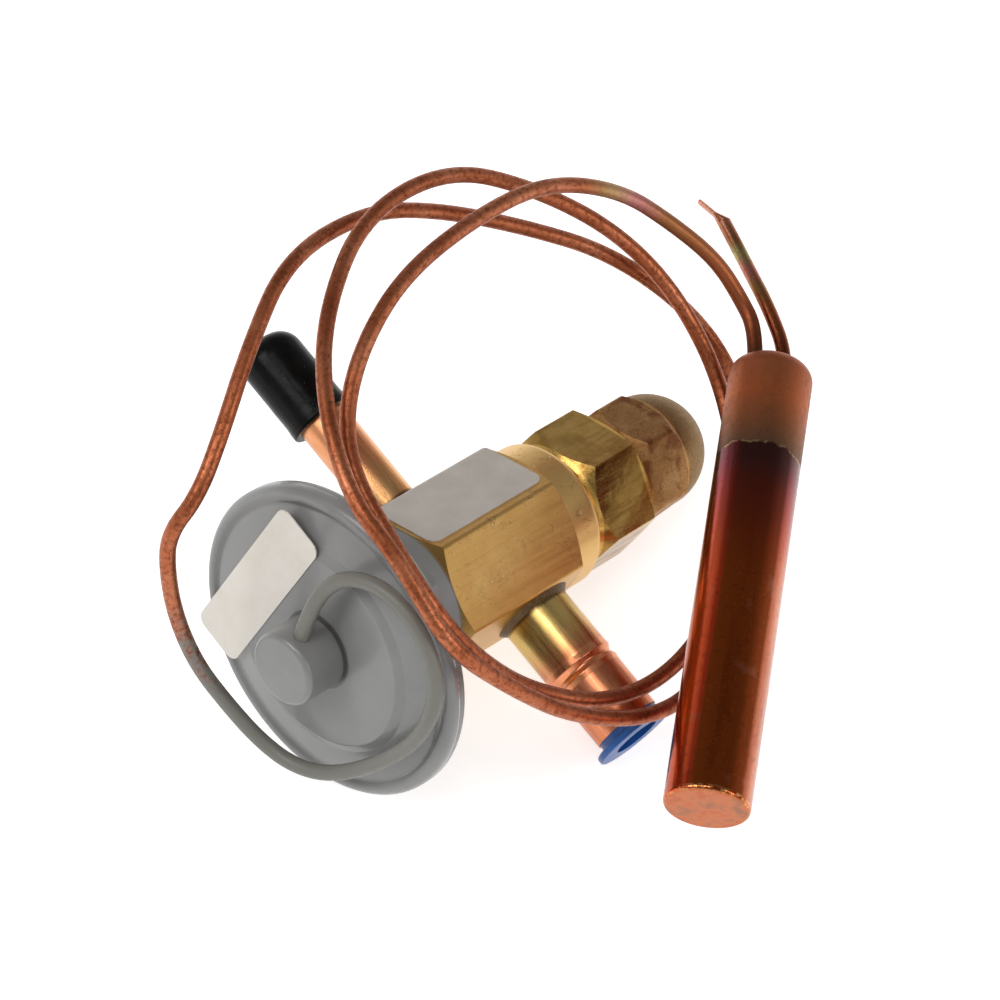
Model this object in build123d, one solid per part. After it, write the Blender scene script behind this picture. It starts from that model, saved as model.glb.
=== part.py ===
"""Thermal expansion valve with in-line tube ends, capillary and sensing bulb, in millimetres.

The valve is modelled upright: +Z points at the power element, +X along the outlet tube, and the
origin is where the outlet's axis crosses the valve's axis. It is then laid down on the floor the
way it comes to rest: on the rim of its power element, its seal cap and the plug of its outlet.
In the frame that is written, the floor is Z = 0 and the valve's box is centred over the origin.
The capillary, the bulb and the fill tube are placed in that frame.
"""
from build123d import *
from math import atan2, cos, degrees, hypot, radians, sin, sqrt, tan
import os

# Clearances
running_gap = 0.06
soft_gap = 0.02

# Power element: two welded cases with the diaphragm between them
rim_radius = 24.9
rim_height = 32.5
rim_round = 1.3
case_wall = 1.1
bead_height = 1.9
bead_width = 1.8
crease_inset = 2.6
crease_depth = 0.4
step_radius = 17.0
step_drop = 0.75
press_round = 0.5
crown_radius = 15.6
crown_height = 3.6
cup_radius = 14.0
diaphragm_thick = 0.2
diaphragm_wave = 0.35
wave_count = 3
boss_radius = 5.8
boss_length = 7.6
boss_bore = 2.0
boss_edge_round = 0.9
exit_height = 4.9
exit_angle = 105
exit_depth = 2.6
collar_flats = 25.4
collar_length = 3.9
collar_turn = -17.0
buffer_radius = 11.4
buffer_thick = 1.8
buffer_foot = 0.9
buffer_round = 0.6
wave_margin = 0.6

# Body, cut from hexagon bar and turned at both ends
body_flats = 23.8
body_top = 21.1
body_bottom = -14.3
body_edge_round = 0.8
top_turned = 3.2
bottom_turned = 5.9
turned_below_flat = 0.12
chamfer_angle = 30
end_round = 1.4
spigot_radius = 9.5
spigot_length = 5.0

# Passages of the body
inlet_height = 8.2
chamber_radius = 8.0
chamber_top = 3.2
housing_thread = 9.0
housing_depth = 7.0
inlet_passage = 2.5
outlet_passage = 4.8
rod_spacing = 5.2
rod_radius = 0.8
seat_radius = 3.0
seat_length = 2.9
port_radius = 1.2
port_lead = 0.5

# Tube ends
outlet_radius = 5.55
outlet_wall = 0.73
outlet_end = 34.5
inlet_radius = 3.95
inlet_wall = 0.72
inlet_end = 44.1
inlet_socket = 10.0
inlet_stop = 0.18
socket_depth = 3.0
groove_at = 24.0
groove_depth = 0.5
groove_half = 0.9
groove_lip = 0.12
groove_round = 0.5
lip_round = 0.3
braze_rise = 0.9
strainer_wall = 0.25
strainer_length = 12.0
strainer_taper = 0.6

# Pin, carrier and superheat spring
pin_radius = 1.6
pin_taper = 0.55
pin_tip = 0.6
pin_seat_depth = 2.0
carrier_drop = 2.0
carrier_thick = 3.0
carrier_flats = 10.4
carrier_round = 0.4
spring_radius = 5.2
spring_wire = 1.3
spring_turns = 5
pilot_radius = 4.3
pilot_length = 2.5
pilot_lead = 0.6
guide_top = -16.0
guide_thick = 3.6
guide_key = 0.9
guide_key_width = 2.4
guide_stroke = 2.2

# Stem housing, stem and gland
nut_flats = 21.1
nut_turn = -3.8
nut_length = 12.0
nut_edge_round = 0.25
nut_top_chamfer = 0.9
gasket_thick = 0.5
housing_bore = 6.6
stem_thread = 3.0
stem_thread_over = 3.3
stem_collar = 4.6
stem_collar_thick = 1.5
stem_shank = 2.5
square_flats = 3.6
square_length = 5.0
gland_radius = 4.4
gland_depth = 6.2
gland_recess = 0.6
driver_slot = 1.2
packing_thick = 2.2
neck_radius = 7.4
neck_length = 6.7
neck_round = 0.6
stem_end_round = 0.5

# Seal cap and its washer
cap_flats = 18.3
cap_turn = -8.7
cap_edge_round = 0.9
cap_hex_length = 9.6
cap_mouth_radius = 8.1
cap_dome_radius = 9.17
cap_dome_height = 9.7
cap_shoulder = 1.8
cap_wall = 3.0
washer_thick = 1.0
washer_radius = 9.1

# Protective plug and vinyl cap
plug_flange = 6.75
plug_flange_thick = 1.1
plug_flange_round = 0.3
plug_shoulder = 0.45
plug_neck = 1.2
plug_depth = 6.0
plug_wall = 1.0
plug_lead = 0.6
plug_floor = 1.5
notch_turn = 65
notch_radius = 0.7
vinyl_wall = 1.1
vinyl_mouth = 30.0
vinyl_lip = 0.1
vinyl_lip_length = 1.2
vinyl_end_wall = 1.6
vinyl_end_round = 3.6

# Labels
label_thick = 0.2
label_corner = 1.8
case_label_width = 8.8
case_label_length = 33.4
case_label_x = -13.2
case_label_y = -1.4
case_label_turn = -1.5
body_label_length = 24.5
body_label_width = 12.9
body_label_top = 17.2
body_label_wrap = 0.75
body_label_face = 120

# Capillary: its points in the laid frame, from the boss to the bulb, and the bend at each
capillary_radius = 1.2
bend_share = 0.45
capillary_lead = 6.8
capillary_path = [
    (-36.5, -5, 41.5), (-34.5, -8.5, 45.5), (-33.5, -15, 47), (-34, -22, 44.5), (-35, -26.5, 38),
    (-37, -27, 31), (-38, -24, 22.5), (-40, -18, 13.5), (-42.5, -12, 8), (-44, -6, 6),
    (-45, 0, 7.5), (-46.5, 5.5, 13), (-49, 9, 21.5), (-50.5, 11.5, 32), (-50.5, 13, 41.5),
    (-49.5, 13.5, 48.5), (-45, 12, 54.5), (-37.5, 15, 59.5), (-27, 20.5, 64.5), (-13, 27, 68),
    (4.5, 28.5, 63.5), (16.5, 25, 57.5), (30.5, 19, 47.5), (41.5, 12, 39), (49, 2.5, 29),
    (51, -6.5, 20.5), (43, -21.5, 14.5), (25.5, -33.5, 12.5), (8, -41.5, 12.5), (-5.5, -43, 17),
    (-18, -38, 24.5), (-26.5, -32.5, 34.5), (-33.5, -26.5, 45), (-32.5, -15.5, 54), (-32.5, -5.5, 59),
    (-25, 7.5, 63.5), (-14.5, 17.5, 66), (0.5, 25, 68.5), (18, 25, 65.5), (31, 19, 56),
    (41, 10.5, 45.5), (45.5, 1, 35), (44.5, -10.5, 24), (35.5, -23, 17), (19.5, -34, 14),
    (3.5, -38.5, 15.5), (-10.5, -37.5, 20), (-20.5, -31.5, 27), (-27.5, -27, 37), (-31, -21.5, 46),
    (-30, -11.5, 52.5), (-28, -2, 56.5), (-23, 5, 60), (-14.5, 10, 64.5), (-2, 14, 66.5),
    (14.5, 15.5, 65), (29, 15, 62), (41.5, 11, 54), (47.5, 4.5, 46.5), (51.5, -1, 40),
    (52, -6, 35), (50.5, -11, 32.5)]

# Sensing bulb and its fill tube, in the laid frame
bulb_radius = 6.45
bulb_length = 76.2
bulb_wall = 0.9
bulb_shoulder = 2.6
bulb_foot_round = 0.7
bulb_foot = (-13.39, -60.11, 19.36)
bulb_heading = (0.8073, 0.5707, 0.1503)
bulb_side = (0.5752, -0.8179, 0.0164)
entry_sink = 1.2
capillary_entry = -2.6
fill_entry = 2.2
entry_braze = 0.7
fill_radius = 1.1
fill_path = [(52, -15, 32), (55, -9, 33.5), (59.5, 1, 34.5), (61.5, 6, 35.5)]
pinch_tip = (61.5, 11, 36)
pinch_width = 3.2
pinch_thick = 0.9
pinch_run = 1.8
pinch_side = (-0.471, -0.412, 0.78)

# Levels that several pieces share
case_face = rim_height + diaphragm_thick / 2
cup_face = rim_height - diaphragm_thick / 2
crown = rim_height + crown_height
crease_radius = rim_radius - crease_inset
collar_top = body_top + collar_length
rod_top = cup_face - buffer_thick - buffer_foot
carrier_top = chamber_top - carrier_drop
carrier_low = carrier_top - carrier_thick
thread_top = body_bottom + housing_depth
nut_top = body_bottom - gasket_thick
nut_low = nut_top - nut_length
neck_low = nut_low - neck_length
guide_low = guide_top - guide_thick
stem_shoulder = guide_low - guide_stroke
collar_low = stem_shoulder - stem_collar_thick
gland_top = neck_low + gland_depth
washer_low = nut_low - washer_thick
cap_mouth = washer_low - soft_gap
cap_base = cap_mouth - cap_hex_length
body_flat = body_flats / 2
tube_start = body_flat - socket_depth
inlet_bore = inlet_radius - inlet_wall - inlet_stop
plug_face = outlet_end + plug_neck
plug_end = plug_face + plug_flange_thick
hexagon_stretch = 2 / sqrt(3)
chamfer_slope = tan(radians(chamfer_angle))


def turned(points, rounds=()):
    """Body of revolution about the valve's axis, from (radius, height) points, some of them rounded."""
    face = make_face(Polyline(*points, close=True))
    for corner, radius in rounds:
        nearest = face.vertices().sort_by_distance((corner[0], corner[1], 0))[0]
        face = fillet(nearest, radius)
    return revolve(Plane.XZ * face, Axis.Z)


def hexagon_bar(flats, low, high, turn, edge):
    """Hexagon bar with rounded edges and flats that face 0, 60, 120 degrees, turned by an angle."""
    outline = Rot(0, 0, turn + 30) * RegularPolygon(flats / 2, 6, major_radius=False)
    outline = fillet(outline.vertices(), edge)
    return Pos(0, 0, low) * extrude(outline, high - low)


def bar(radius, low, high):
    """Cylinder on the valve's axis."""
    return Pos(0, 0, low) * Cylinder(radius, high - low, align=(Align.CENTER, Align.CENTER, Align.MIN))


def block(length, width, low, high):
    """Block centred on the valve's axis."""
    return Pos(0, 0, low) * Box(length, width, high - low, align=(Align.CENTER, Align.CENTER, Align.MIN))


def tube_side(piece, height, side):
    """Turn a piece made on the valve's axis onto the axis of the outlet (1) or the inlet (-1)."""
    return Pos(0, 0, height) * Rot(0, 90 * side, 0) * piece


def dome(radius, height, base):
    """Part of a ball that hangs below a height."""
    ball, centre = dome_ball(radius, height, base)
    side = CenterArc((0, centre), ball, -90, degrees(atan2(base - centre, radius)) + 90)
    corner = Polyline((radius, base), (0, base), (0, base - height))
    return revolve(Plane.XZ * make_face([side, corner]), Axis.Z)


def dome_ball(radius, height, base):
    """Radius and centre height of the ball that a dome is part of."""
    ball = (radius ** 2 + height ** 2) / (2 * height)
    return ball, base - height + ball


def upper_case():
    """Stamped case over the diaphragm: rolled rim, crease, sloping ring and flat crown."""
    bead_top = rim_height + bead_height
    crease = bead_top - crease_depth
    step = crown - step_drop
    outside = [(rim_radius, case_face), (rim_radius, bead_top), (rim_radius - bead_width, bead_top),
               (crease_radius, crease), (step_radius, step), (crown_radius, crown), (boss_bore, crown)]
    inside = [(boss_bore, crown - case_wall), (crown_radius - case_wall / 2, crown - case_wall),
              (step_radius - case_wall / 2, step - case_wall), (crease_radius - case_wall / 2, crease - case_wall),
              (rim_radius - bead_width, case_face)]
    rounds = [(outside[1], rim_round)] + [(corner, press_round) for corner in outside[2:6]]
    return turned(outside + inside, rounds)


def lower_case():
    """Stamped cup under the diaphragm, in one piece with its hexagon collar."""
    bead_low = rim_height - bead_height
    bead_inner = rim_radius - bead_width
    run = bead_inner - cup_radius
    lift = case_wall * hypot(run, bead_low - collar_top) / run
    cup = turned([(rim_radius, cup_face), (rim_radius, bead_low), (bead_inner, bead_low),
                  (cup_radius, collar_top), (spigot_radius, collar_top), (spigot_radius, collar_top + lift),
                  (cup_radius, collar_top + lift), (bead_inner, bead_low + lift), (bead_inner, cup_face)],
                 [((rim_radius, bead_low), rim_round), ((bead_inner, bead_low), press_round)])
    corner = collar_flats / 2 * hexagon_stretch
    drop = (corner - collar_flats / 2) * chamfer_slope
    collar = hexagon_bar(collar_flats, body_top, collar_top, collar_turn, body_edge_round)
    collar &= turned([(0, body_top), (collar_flats / 2, body_top), (corner, body_top + drop),
                      (corner, collar_top), (0, collar_top)])
    return cup + (collar - bar(spigot_radius, body_top, collar_top))


def diaphragm():
    """Thin disc with ring waves between its flat centre and its clamped edge."""
    first = buffer_radius + wave_margin
    last = crease_radius - case_wall
    pitch = (last - first) / (2 * wave_count)
    line = [(0, cup_face), (first, cup_face)]
    for k in range(1, 2 * wave_count):
        line.append((first + pitch * k, cup_face + diaphragm_wave * (1 if k % 2 else -1)))
    line += [(last, cup_face), (rim_radius, cup_face)]
    upper = [(r, z + diaphragm_thick) for r, z in line]
    return turned(line + upper[::-1])


def capillary_exit():
    """Start of the capillary inside the boss, and the way that it leaves."""
    heading = Vector(cos(radians(exit_angle)), sin(radians(exit_angle)), 0)
    return Vector(0, 0, crown + exit_height) + heading * (boss_radius - exit_depth), heading


def capillary_boss():
    """Round boss brazed on the crown, with a bore from the case and a side hole for the capillary."""
    top = crown + boss_length
    body = turned([(0, crown), (boss_radius, crown), (boss_radius, top), (0, top)],
                  [((boss_radius, top), boss_edge_round)])
    body -= bar(boss_bore, crown, crown + exit_height)
    start, heading = capillary_exit()
    hole = Cylinder(capillary_radius, boss_radius, align=(Align.CENTER, Align.CENTER, Align.MIN))
    drilling = Cylinder(capillary_radius / 2, boss_radius - exit_depth,
                        align=(Align.CENTER, Align.CENTER, Align.MAX))
    return body - Plane(origin=start, z_dir=heading) * hole - Plane(origin=start, z_dir=heading) * drilling


def buffer_plate():
    """Plate that carries the diaphragm's motion to the push rods."""
    foot_radius = rod_spacing + 2 * rod_radius
    low = cup_face - buffer_thick
    return turned([(0, rod_top), (foot_radius, rod_top), (foot_radius, low), (buffer_radius, low),
                   (buffer_radius, cup_face), (0, cup_face)], [((buffer_radius, cup_face), buffer_round)])


def push_rods():
    """Two rods from the buffer plate to the pin carrier, one on each side of the port."""
    rod = bar(rod_radius, carrier_top, rod_top)
    return Pos(0, rod_spacing, 0) * rod + Pos(0, -rod_spacing, 0) * rod


def valve_body():
    """Hexagon body with turned ends, spring chamber, port, inlet cross-hole and tube sockets."""
    corner = body_flat * hexagon_stretch
    end_radius = body_flat - turned_below_flat
    drop = (corner - end_radius) * chamfer_slope
    high = body_top - top_turned
    low = body_bottom + bottom_turned
    envelope = turned([(0, body_bottom), (end_radius, body_bottom), (end_radius, low), (corner, low + drop),
                       (corner, high - drop), (end_radius, high), (end_radius, body_top), (0, body_top)],
                      [((end_radius, body_bottom), end_round)])
    body = hexagon_bar(body_flats, body_bottom, body_top, 0, body_edge_round) & envelope
    body += bar(spigot_radius, body_top, body_top + spigot_length)
    body -= bar(chamber_radius, body_bottom, chamber_top)
    body -= bar(housing_thread, body_bottom, thread_top)
    body -= bar(seat_radius, chamber_top, chamber_top + seat_length)
    body -= bar(inlet_passage, chamber_top, inlet_height)
    rod_hole = bar(rod_radius + running_gap, chamber_top, body_top + spigot_length)
    body -= Pos(0, rod_spacing, 0) * rod_hole
    body -= Pos(0, -rod_spacing, 0) * rod_hole
    body -= tube_side(bar(outlet_radius, tube_start, outlet_end), 0, 1)
    body -= tube_side(bar(outlet_passage, chamber_radius / 2, body_flat), 0, 1)
    body -= tube_side(bar(inlet_radius, tube_start, inlet_end), inlet_height, -1)
    body -= tube_side(bar(inlet_passage, 0, body_flat), inlet_height, -1)
    return body - Pos(0, 0, inlet_height) * Sphere(inlet_passage)


def port_taper(height):
    """Radius of the cone that the pin and its seat share, at a height above the chamber's top."""
    return port_radius + (port_lead - height) * pin_taper


def seat_insert():
    """Pressed-in port with a conical seat at its foot."""
    top = chamber_top + seat_length
    return turned([(port_taper(0), chamber_top), (seat_radius, chamber_top), (seat_radius, top),
                   (port_radius, top), (port_radius, chamber_top + port_lead)])


def valve_pin():
    """Pin with a tapered tip that closes the port, fixed in the carrier."""
    full = chamber_top + port_lead - running_gap - (pin_radius - port_radius) / pin_taper
    tip = chamber_top + port_lead - running_gap + (port_radius - pin_tip) / pin_taper
    foot = carrier_top - pin_seat_depth
    return turned([(0, foot), (pin_radius, foot), (pin_radius, full), (pin_tip, tip), (0, tip)])


def pin_carrier():
    """Carrier that slides in the chamber, flattened on two sides to let liquid past."""
    foot = carrier_low - pilot_length
    land = chamber_radius - running_gap
    body = turned([(0, foot), (pilot_radius - pilot_lead, foot), (pilot_radius, foot + pilot_lead),
                   (pilot_radius, carrier_low), (land, carrier_low), (land, carrier_top), (0, carrier_top)],
                  [((land, carrier_low), carrier_round), ((land, carrier_top), carrier_round)])
    body &= block(carrier_flats, 2 * chamber_radius, foot, carrier_top)
    return body - bar(pin_radius, carrier_top - pin_seat_depth, carrier_top)


def superheat_spring():
    """Compression spring with ends ground flat, between the carrier and the guide."""
    inset = spring_wire / 5
    height = carrier_low - guide_top - 2 * inset
    path = Helix(height / spring_turns, height, spring_radius)
    wire = Plane(origin=path @ 0, z_dir=path % 0) * Circle(spring_wire / 2)
    coil = Pos(0, 0, guide_top + inset) * sweep(wire, path, is_frenet=True)
    return coil & bar(spring_radius + spring_wire, guide_top, carrier_low)


def spring_guide():
    """Threaded spring seat that two keys keep from turning, so that the stem drives it along."""
    radius = housing_bore - running_gap
    bore = stem_thread + running_gap
    top = guide_top + pilot_length
    body = turned([(bore, guide_low), (radius, guide_low), (radius, guide_top), (pilot_radius, guide_top),
                   (pilot_radius, top - pilot_lead), (pilot_radius - pilot_lead, top), (bore, top)])
    keys = block(2 * (housing_bore + guide_key - running_gap), guide_key_width - 2 * running_gap,
                 guide_low, guide_top)
    return body + (keys - bar(housing_bore / 2 + stem_thread / 2, guide_low, guide_top))


def stem_housing():
    """Hexagon housing screwed into the body: spring bore, stem shoulder, gland box and cap neck."""
    flat = nut_flats / 2
    corner = flat * hexagon_stretch
    drop = (corner - flat) * chamfer_slope
    body = hexagon_bar(nut_flats, nut_low, nut_top, nut_turn, nut_edge_round)
    body &= turned([(0, nut_low), (flat, nut_low), (corner, nut_low + drop),
                    (corner, nut_top - nut_top_chamfer - corner + flat), (flat - nut_top_chamfer, nut_top),
                    (0, nut_top)])
    body += bar(housing_thread, nut_top, thread_top)
    body += turned([(0, neck_low), (neck_radius, neck_low), (neck_radius, nut_low), (0, nut_low)],
                   [((neck_radius, neck_low), neck_round)])
    body -= bar(housing_bore, stem_shoulder, thread_top)
    body -= block(2 * (housing_bore + guide_key), guide_key_width, stem_shoulder, thread_top)
    body -= bar(stem_collar + running_gap, collar_low, stem_shoulder)
    body -= bar(stem_shank + running_gap, neck_low, collar_low)
    return body - bar(gland_radius, neck_low, gland_top)


def housing_gasket():
    """Thin ring that seals the housing against the body."""
    outer = nut_flats / 2 - nut_top_chamfer
    return turned([(housing_thread, nut_top), (outer, nut_top), (outer, body_bottom), (housing_thread, body_bottom)])


def adjusting_stem():
    """Stem with its thread, thrust collar, shank and a square end for the wrench."""
    square_top = neck_low + gland_recess
    square_low = square_top - square_length
    stem = bar(stem_thread, stem_shoulder, guide_top + stem_thread_over)
    stem += bar(stem_collar - running_gap, collar_low, stem_shoulder)
    stem += bar(stem_shank, square_top, collar_low)
    end = turned([(0, square_low), (stem_shank, square_low), (stem_shank, square_top), (0, square_top)],
                 [((stem_shank, square_low), stem_end_round)])
    return stem + (block(square_flats, square_flats, square_low, square_top) & end)


def stem_packing():
    """Soft ring round the stem, at the bottom of the gland box."""
    bore = stem_shank + running_gap
    low = gland_top - packing_thick
    return turned([(bore, low), (gland_radius, low), (gland_radius, gland_top), (bore, gland_top)])


def packing_follower():
    """Screwed ring that presses the packing, with a slot for its driver."""
    bore = stem_shank + 2 * running_gap
    low = neck_low + gland_recess
    high = gland_top - packing_thick
    ring = turned([(bore, low), (gland_radius, low), (gland_radius, high), (bore, high)])
    return ring - block(2 * gland_radius, driver_slot, low, low + driver_slot)


def cap_washer():
    """Polished ring between the housing's end and the seal cap."""
    bore = neck_radius + running_gap
    return turned([(bore, washer_low), (washer_radius, washer_low), (washer_radius, nut_low), (bore, nut_low)])


def seal_cap():
    """Forged cap: chamfered mouth, rounded hexagon and dome, hollow over the neck and the stem."""
    corner = cap_flats / 2 * hexagon_stretch
    chamfer = corner - cap_mouth_radius
    hexagon = hexagon_bar(cap_flats, cap_base, cap_mouth, cap_turn, cap_edge_round)
    hexagon &= turned([(0, cap_mouth), (cap_mouth_radius, cap_mouth), (corner, cap_mouth - chamfer),
                       (corner, cap_base + cap_shoulder), (cap_dome_radius, cap_base), (0, cap_base)])
    body = hexagon + dome(cap_dome_radius, cap_dome_height, cap_base)
    inner = cap_dome_radius - cap_wall
    body -= bar(neck_radius + running_gap, neck_low - gland_recess, cap_mouth)
    body -= bar(inner, cap_base, neck_low)
    return body - dome(inner, cap_dome_height - cap_wall, cap_base)


def outlet_tube():
    """Copper tube end with a rolled stop groove, seen outside and inside."""
    inner = outlet_radius - outlet_wall
    before = groove_at - groove_half
    after = groove_at + groove_half
    slim = outlet_radius - groove_lip
    outside = [(outlet_radius, tube_start), (outlet_radius, before - groove_half),
               (outlet_radius + groove_lip, before), (outlet_radius - groove_depth, groove_at),
               (outlet_radius, after), (slim, after + groove_half), (slim, outlet_end)]
    inside = [(inner, outlet_end), (inner, after), (inner - groove_depth, groove_at), (inner, before),
              (inner, tube_start)]
    rounds = [(outside[2], lip_round), (outside[3], groove_round), (outside[4], lip_round),
              (inside[2], groove_round)]
    return tube_side(turned(outside + inside, rounds), 0, 1)


def inlet_tube():
    """Smaller copper tube end on the other side, nearer the power element, with a stop in its socket."""
    tube = bar(inlet_radius, tube_start, inlet_end) - bar(inlet_bore, tube_start, inlet_end)
    socket = bar(inlet_radius - inlet_wall, inlet_end - inlet_socket, inlet_end)
    return tube_side(tube - socket, inlet_height, -1)


def braze_ring(radius, height, side):
    """Fillet of braze metal where a tube enters the body."""
    ring = turned([(radius, body_flat), (radius + braze_rise, body_flat), (radius, body_flat + braze_rise)])
    return tube_side(ring, height, side)


def inlet_strainer():
    """Thimble of fine mesh in the inlet tube, with a rim that holds it at the socket."""
    rim = inlet_bore
    side = rim - 2 * strainer_wall
    end = tube_start + strainer_length
    lip = tube_start + 2 * strainer_wall
    cup = turned([(side - strainer_wall, tube_start), (rim, tube_start), (rim, lip), (side, lip),
                  (side - strainer_taper, end), (0, end), (0, end - strainer_wall),
                  (side - strainer_taper - strainer_wall, end - strainer_wall), (side - strainer_wall, lip)])
    return tube_side(cup, inlet_height, -1)


def outlet_plug():
    """Push-in plug with a thin wide flange, hollow from outside."""
    body = outlet_radius - outlet_wall - running_gap
    low = outlet_end - plug_depth
    floor = low + plug_floor
    cup = body - plug_wall
    neck = body + plug_shoulder
    shape = turned([(0, low), (body, low), (body, outlet_end), (neck, outlet_end), (neck, plug_face),
                    (plug_flange, plug_face), (plug_flange, plug_end), (cup, plug_end), (cup, floor), (0, floor)],
                   [((body, low), plug_lead), ((plug_flange, plug_end), plug_flange_round),
                    ((plug_flange, plug_face), plug_flange_round)])
    notch = Pos(plug_flange, 0, 0) * bar(notch_radius, plug_face, plug_end)
    return tube_side(Rot(0, 0, notch_turn) * (shape - notch), 0, 1)


def inlet_cap():
    """Dipped cap over the inlet tube: round end, slightly rolled mouth."""
    bore = inlet_radius + soft_gap
    outer = bore + vinyl_wall
    end = inlet_end + vinyl_end_wall
    lip = vinyl_mouth + vinyl_lip_length
    points = [(bore, vinyl_mouth), (outer + vinyl_lip, vinyl_mouth), (outer + vinyl_lip, lip),
              (outer, lip + vinyl_lip_length), (outer, end), (0, end), (0, inlet_end), (bore, inlet_end)]
    rounds = [(points[1], vinyl_wall / 3), (points[4], vinyl_end_round)]
    return tube_side(turned(points, rounds), inlet_height, -1)


def power_label():
    """Stiff label laid on the crown, past its edge towards the rim."""
    sheet = fillet(Rectangle(case_label_width, case_label_length).vertices(), label_corner)
    return Pos(case_label_x, case_label_y, crown) * Rot(0, 0, case_label_turn) * extrude(sheet, label_thick)


def body_label():
    """Thin label on one flat of the body, wrapped a little over the edge behind it."""
    low = body_label_top - body_label_length
    skin = hexagon_bar(body_flats + 2 * label_thick, low, body_label_top, 0, body_edge_round + label_thick)
    skin -= hexagon_bar(body_flats, low, body_label_top, 0, body_edge_round)
    sheet = fillet(Rectangle(body_label_length, body_label_width).vertices(), label_corner)
    facing = Vector(cos(radians(body_label_face)), sin(radians(body_label_face)), 0)
    side = body_flat * hexagon_stretch / 2 + body_label_wrap - body_label_width / 2
    patch = Plane(origin=(0, 0, (low + body_label_top) / 2), x_dir=(0, 0, 1), z_dir=facing)
    return skin & patch * Pos(0, -side, body_flat / 2) * extrude(sheet, body_flat)


def resting_frame():
    """Plane of the floor in the upright valve's frame, found from its three resting places."""
    rim = Plane((0, 0, rim_height - bead_height + rim_round))
    plug = Plane((plug_end - plug_flange_round, 0, 0), z_dir=(1, 0, 0))
    edge_reach = (cap_flats / 2 - cap_edge_round) * hexagon_stretch
    ball, centre = dome_ball(cap_dome_radius, cap_dome_height, cap_base)
    down = Vector(0.3, -0.9, -0.2)
    for _ in range(30):
        corners = [Vector(edge_reach, 0, cap_base + cap_shoulder).rotate(Axis.Z, cap_turn + 30 + 60 * k)
                   for k in range(6)]
        cap = [lowest(Plane(corner), cap_edge_round, 0, down) for corner in corners]
        cap.append(lowest(Plane((0, 0, centre)), 0, ball, down))
        touch = [lowest(rim, rim_radius - rim_round, rim_round, down),
                 max(cap, key=down.dot),
                 lowest(plug, plug_flange - plug_flange_round, plug_flange_round, down)]
        normal = (touch[1] - touch[0]).cross(touch[2] - touch[0]).normalized()
        down = normal if normal.dot(down) > 0 else -normal
    return Plane(touch[0], x_dir=Vector(0, 0, -1) - down * Vector(0, 0, -1).dot(down), z_dir=-down)


def lowest(circle, radius, bead, down):
    """Point of a rounded ring that reaches furthest in a direction."""
    along = down - circle.z_dir * down.dot(circle.z_dir)
    return circle.origin + along.normalized() * radius + down.normalized() * bead


def bent_tube(points, radius):
    """Round tube along straight runs that tangent bends join, and the radii of its bends."""
    runs = [after - before for before, after in zip(points, points[1:])]
    bends = []
    for before, after in zip(runs, runs[1:]):
        turn = radians(before.get_angle(after))
        bends.append(bend_share * min(before.length, after.length) / tan(turn / 2))
    line = FilletPolyline(*points, radius=bends)
    section = Plane(origin=points[0], z_dir=runs[0]) * Circle(radius)
    return sweep(section, line), line, bends


def bulb_entry(offset):
    """Place inside the bulb's top where a tube ends, to one side of the bulb's axis."""
    depth = bulb_length - entry_sink
    return Vector(*bulb_foot) + Vector(*bulb_heading) * depth + Vector(*bulb_side) * offset


def tube_points():
    """Points of the capillary and of the fill tube, both ending in the bulb's top."""
    start, heading = capillary_exit()
    lead = [laid.from_local_coords(point) for point in (start, start + heading * capillary_lead)]
    capillary = lead + [Vector(*point) for point in capillary_path] + [bulb_entry(capillary_entry)]
    return capillary, [bulb_entry(fill_entry)] + [Vector(*point) for point in fill_path]


def bulb_form():
    """Outside of the bulb: a round bar with a rounded shoulder, a crisp foot and a flat end."""
    form = turned([(0, 0), (bulb_radius, 0), (bulb_radius, bulb_length), (0, bulb_length)],
                  [((bulb_radius, 0), bulb_foot_round), ((bulb_radius, bulb_length), bulb_shoulder)])
    return Plane(origin=bulb_foot, z_dir=bulb_heading) * form


def entry_cone(points, radius, wide):
    """Cone or, with nothing to widen it, a cylinder round a tube's last run in the bulb."""
    height = 2 * entry_sink
    cone = Cone(radius + wide, radius, height) if wide else Cylinder(radius, height)
    return Plane(origin=points[0], z_dir=points[1] - points[0]) * Pos(0, 0, height / 2) * cone


def sensing_bulb(ends):
    """Hollow bulb with a hole in its top for each of its tubes."""
    room = turned([(0, bulb_wall), (bulb_radius - bulb_wall, bulb_wall),
                   (bulb_radius - bulb_wall, bulb_length - bulb_wall), (0, bulb_length - bulb_wall)],
                  [((bulb_radius - bulb_wall, bulb_length - bulb_wall), bulb_shoulder - bulb_wall)])
    shell = bulb_form() - Plane(origin=bulb_foot, z_dir=bulb_heading) * room
    for points, radius in ends:
        shell -= entry_cone(points, radius, 0)
    return shell


def bulb_braze(points, radius):
    """Collar of braze metal round a tube where it enters the bulb."""
    return entry_cone(points, radius, entry_braze) - entry_cone(points, radius, 0) - bulb_form()


def fill_tube(points):
    """Filling stub, closed by a flat pinch that is bent over."""
    stub = bent_tube(points, fill_radius)[0]
    along = (Vector(*pinch_tip) - points[-1]).normalized()
    flat = Plane(origin=points[-1] + along * pinch_run, x_dir=pinch_side, z_dir=along)
    blade = flat * Ellipse(pinch_width / 2, pinch_thick / 2)
    mouth = Plane(origin=points[-1], z_dir=points[-1] - points[-2], x_dir=pinch_side) * Circle(fill_radius)
    stub += loft([mouth, blade])
    return stub + extrude(blade, (Vector(*pinch_tip) - points[-1]).length - pinch_run, dir=along)


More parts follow.
